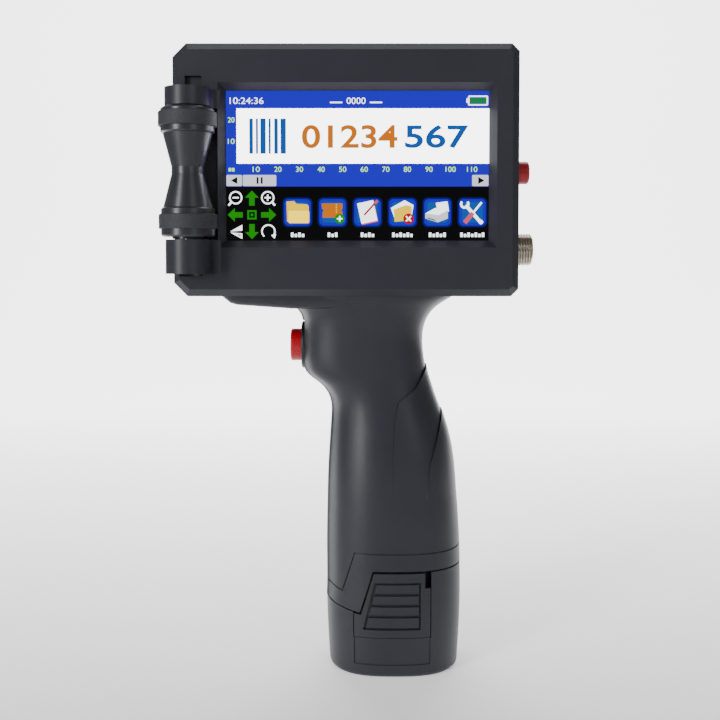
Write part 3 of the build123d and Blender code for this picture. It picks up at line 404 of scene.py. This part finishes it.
def erase_icon():
    """A yellow folder with a sheet behind it and a red cross."""
    return [("white", 5, [(-4.2, -1.6), (0.8, -4.4), (4.0, -2.6), (3.4, 1.0), (-3.0, 1.8)]),
            ("yellow", 6, [(-3.2, -1.0), (1.2, -2.6), (3.4, -2.2), (3.2, 2.8), (-2.8, 3.4)]),
            ("red", 7, disc(2.2, 2.3, 1.9)),
            ("white", 8, stroke((1.3, 1.4), (3.1, 3.2), 0.5)),
            ("white", 8, stroke((3.1, 1.4), (1.3, 3.2), 0.5))]


def printer_icon():
    """A white desk printer with its paper standing up."""
    return [("white", 5, [(-0.6, -3.4), (3.6, -4.0), (4.2, -0.4), (0.2, 0.2)]),
            ("silver", 6, [(-4.4, 0.4), (-0.8, -1.6), (3.8, -0.8), (3.8, 2.2), (0.2, 3.6), (-4.4, 2.2)]),
            ("white", 7, [(-4.4, 0.4), (-0.8, -1.6), (3.8, -0.8), (0.4, 1.0)]),
            ("ink", 8, stroke((-3.6, 2.0), (-0.6, 2.9), 0.35))]


def tools_icon():
    """A spanner crossed with a screwdriver."""
    shapes = [("white", 6, stroke((-2.4, -2.6), (3.0, 3.6), 1.2)),
              ("white", 6, stroke((3.3, -3.6), (0.4, 0.0), 0.7)),
              ("white", 7, disc(3.1, 3.5, 0.8)),
              ("rose", 7, stroke((0.2, 0.2), (-2.8, 3.8), 1.6))]
    jaw = band(-2.8, -3.0, radius=1.7, width=0.8, start=math.radians(-40), end=math.radians(220))
    return shapes + inked("white", 5, jaw)


def tiles():
    """Six blue tiles with an icon on each and a row of plain marks under it."""
    icons = (folder_icon, ticket_icon, notepad_icon, erase_icon, printer_icon, tools_icon)
    marks = (4, 3, 4, 6, 5, 7)
    pitch, wide, top, bottom = 1.3, 0.9, 51.0, 52.6
    shapes = []
    for place, (icon, count) in enumerate(zip(icons, marks)):
        x = FIRST_TILE_X + TILE_PITCH * place
        for colour, level, inset in (("navy", 2, 0.0), ("azure", 3, 0.55), ("sky", 4, 1.6)):
            reach = TILE / 2 - inset
            square = rounded(-reach, -reach, reach, reach, 1.9 - inset / 2)
            shapes.append((colour, level, moved(square, x, TILE_Y)))
        shapes += [(colour, level, moved(outline, x, TILE_Y)) for colour, level, outline in icon()]
        for i in range(count):
            start = x - (count * pitch - (pitch - wide)) / 2 + pitch * i
            shapes.append(("white", 2, rectangle(start, top + 0.5 * (i % 2), start + wide, bottom)))
    return shapes


# Colour and strength of each light on the display.
GLOWS = {
    "blue": (srgb(42, 0, 255), 0.7),
    "white": (srgb(240, 242, 246), 3.0),
    "paper": (srgb(254, 254, 254), 6.0),
    "green": (srgb(0, 170, 10), 0.8),
    "lime": (srgb(180, 255, 90), 2.2),
    "orange": (srgb(240, 128, 0), 0.95),
    "sky": (srgb(0, 90, 190), 1.0),
    "azure": (srgb(30, 10, 235), 0.8),
    "navy": (srgb(20, 0, 140), 0.8),
    "silver": (srgb(190, 192, 200), 2.0),
    "ink": (srgb(2, 2, 3), 0.1),
    "yellow": (srgb(255, 205, 0), 1.6),
    "cream": (srgb(255, 215, 30), 2.4),
    "rose": (srgb(226, 90, 110), 1.2),
    "red": (srgb(206, 6, 10), 1.0),
}


def glow(name, colour, strength):
    """A lit patch of the display, with its cells just showing and the glass's shine on top."""
    material, shader = new_material("display_" + name)
    tree = material.node_tree
    cells = noise(tree, scale=5000.0, detail=0.0)
    dimmer = (*[0.95 * part for part in colour[:3]], 1.0)
    tree.links.new(blend(tree, cells, dimmer, colour), shader.inputs["Emission Color"])
    tree.links.new(spread(tree, cells, 0.16, 0.24), shader.inputs["Roughness"])
    shader.inputs["Base Color"].default_value = (0.001, 0.001, 0.001, 1.0)
    shader.inputs["Specular IOR Level"].default_value = 0.2
    shader.inputs["Emission Strength"].default_value = strength
    return material


def screen_art():
    """One flat piece for each colour on the screen."""
    shapes = status_bar() + preview() + rulers() + scroll_row() + arrow_pad() + corner_marks() + tiles()
    for name, (colour, strength) in GLOWS.items():
        sheet = bmesh.new()
        for used, level, outline in shapes:
            if used == name:
                y = GLASS_Y - LAYER * level
                corners = [(SCREEN_LEFT + right, y, SCREEN_TOP - down) for right, down in outline]
                sheet.faces.new([sheet.verts.new(Vector(corner) * MM) for corner in corners])
        bmesh.ops.recalc_face_normals(sheet, faces=sheet.faces)
        for face in sheet.faces:
            if face.normal.y > 0:
                face.normal_flip()
        patch = add_piece("screen_" + name, sheet, glow(name, colour, strength))
        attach(patch, "casing")


# ---------------------------------------------------------------- the round socket's thread

def thread_radius(x, angle):
    """Radius of the thread at that place along X and round it, rising and falling once in each pitch."""
    phase = (x / THREAD_PITCH - angle / (2 * math.pi)) % 1.0
    return THREAD_ROOT + (THREAD_CREST - THREAD_ROOT) * min(1.0, THREAD_RISE * min(phase, 1.0 - phase))


def threaded_socket():
    """The socket's sleeve with a real helical thread on the part outside the casing."""
    threaded = [THREAD_START + (THREAD_END - THREAD_START) * i / RINGS for i in range(RINGS + 1)]
    sleeve = bmesh.new()
    rings = []
    for x, radius in [(x, None) for x in threaded] + SLEEVE:
        ring = []
        for i in range(SIDES):
            angle = 2 * math.pi * i / SIDES
            reach = thread_radius(x, angle) if radius is None else radius
            y = SOCKET_Y + reach * math.cos(angle)
            z = SOCKET_Z + reach * math.sin(angle)
            ring.append(sleeve.verts.new((x * MM, y * MM, z * MM)))
        rings.append(ring)
    for near, far in zip(rings, rings[1:] + rings[:1]):
        for i in range(SIDES):
            j = (i + 1) % SIDES
            sleeve.faces.new([near[i], far[i], far[j], near[j]]).smooth = True
    bmesh.ops.recalc_face_normals(sleeve, faces=sleeve.faces)
    nickel = brushed("socket_nickel", srgb(176, 168, 154), srgb(206, 198, 184), (0.16, 0.28))
    piece = add_piece("socket_thread", sleeve, nickel)
    piece.data.set_sharp_from_angle(angle=math.radians(40))
    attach(piece, "casing")
    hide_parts("connector_shell")


# ---------------------------------------------------------------- studio and camera

def sweep_paper():
    """Pale paper that grows lighter towards the wall, as if it were lit from behind the object."""
    material, shader = new_material("studio_paper")
    tree = material.node_tree
    grain = noise(tree, scale=300.0)
    place = tree.nodes.new("ShaderNodeTexCoord")
    split = tree.nodes.new("ShaderNodeSeparateXYZ")
    ramp = tree.nodes.new("ShaderNodeMapRange")
    ramp.inputs["From Min"].default_value = -0.15
    ramp.inputs["From Max"].default_value = 0.6
    ramp.inputs["To Min"].default_value = 0.0
    ramp.inputs["To Max"].default_value = 3.0
    tree.links.new(place.outputs["Object"], split.inputs["Vector"])
    tree.links.new(split.outputs["Y"], ramp.inputs["Value"])
    tree.links.new(ramp.outputs["Result"], shader.inputs["Emission Strength"])
    tree.links.new(blend(tree, grain, srgb(243, 243, 245), srgb(249, 249, 249)), shader.inputs["Base Color"])
    tree.links.new(spread(tree, grain, 0.75, 0.9), shader.inputs["Roughness"])
    shader.inputs["Emission Color"].default_value = (1.0, 1.0, 1.0, 1.0)
    return material


def backdrop():
    """A pale floor that curves up into a wall behind the object, in metres."""
    radius, wide, front, back, top = 0.5, 0.66, -1.0, 1.2, 1.0
    profile = [(front, 0.0), (back - radius, 0.0)]
    for degrees in range(9, 91, 9):
        angle = math.radians(degrees)
        profile.append((back - radius + radius * math.sin(angle), radius - radius * math.cos(angle)))
    profile.append((back, top))
    sheet = bmesh.new()
    rows = [[sheet.verts.new((x, y, z)) for x in (-wide, wide)] for y, z in profile]
    for lower, upper in zip(rows, rows[1:]):
        sheet.faces.new([lower[0], lower[1], upper[1], upper[0]]).smooth = True
    add_piece("backdrop", sheet, sweep_paper())


def soft_light(name, place, aim, wide, tall, power):
    """A soft light at place, of that width and height, that shines towards aim."""
    lamp = bpy.data.lights.new(name, "AREA")
    lamp.shape = "RECTANGLE"
    lamp.size = wide
    lamp.size_y = tall
    lamp.energy = power
    holder = bpy.data.objects.new(name, lamp)
    holder.location = place
    holder.rotation_euler = (Vector(aim) - Vector(place)).to_track_quat("-Z", "Y").to_euler()
    bpy.context.collection.objects.link(holder)


def studio():
    """The backdrop, three soft lights and a pale sky; places and sizes in metres, power in watts."""
    backdrop()
    grip = (0.0, 0.0, 0.14)
    floor = (0.0, 0.1, 0.0)
    soft_light("key", place=(-0.68, -0.72, 0.35), aim=grip, wide=0.22, tall=0.7, power=7.8)
    soft_light("fill", place=(0.55, -0.9, 0.5), aim=grip, wide=0.4, tall=0.6, power=1.6)
    soft_light("overhead", place=(0.0, 0.75, 1.3), aim=floor, wide=1.2, tall=0.8, power=10.0)
    sky = bpy.data.worlds.new("sky")
    sky.use_nodes = True
    sky.node_tree.nodes["Background"].inputs["Color"].default_value = (0.96, 0.97, 1.0, 1.0)
    sky.node_tree.nodes["Background"].inputs["Strength"].default_value = 0.3
    bpy.context.scene.world = sky


def camera():
    """A camera in front, a little below the screen's middle, that looks slightly down."""
    lens = bpy.data.cameras.new("camera")
    lens.lens = 50.0
    lens.sensor_width = 36.0
    lens.shift_y = -0.081
    holder = bpy.data.objects.new("camera", lens)
    holder.location = (-0.013, -0.3875, 0.1559)
    holder.rotation_euler = (math.radians(87.5), 0.0, 0.0)
    bpy.context.collection.objects.link(holder)
    bpy.context.scene.camera = holder


paint_nodes()
screen_art()
threaded_socket()
studio()
camera()
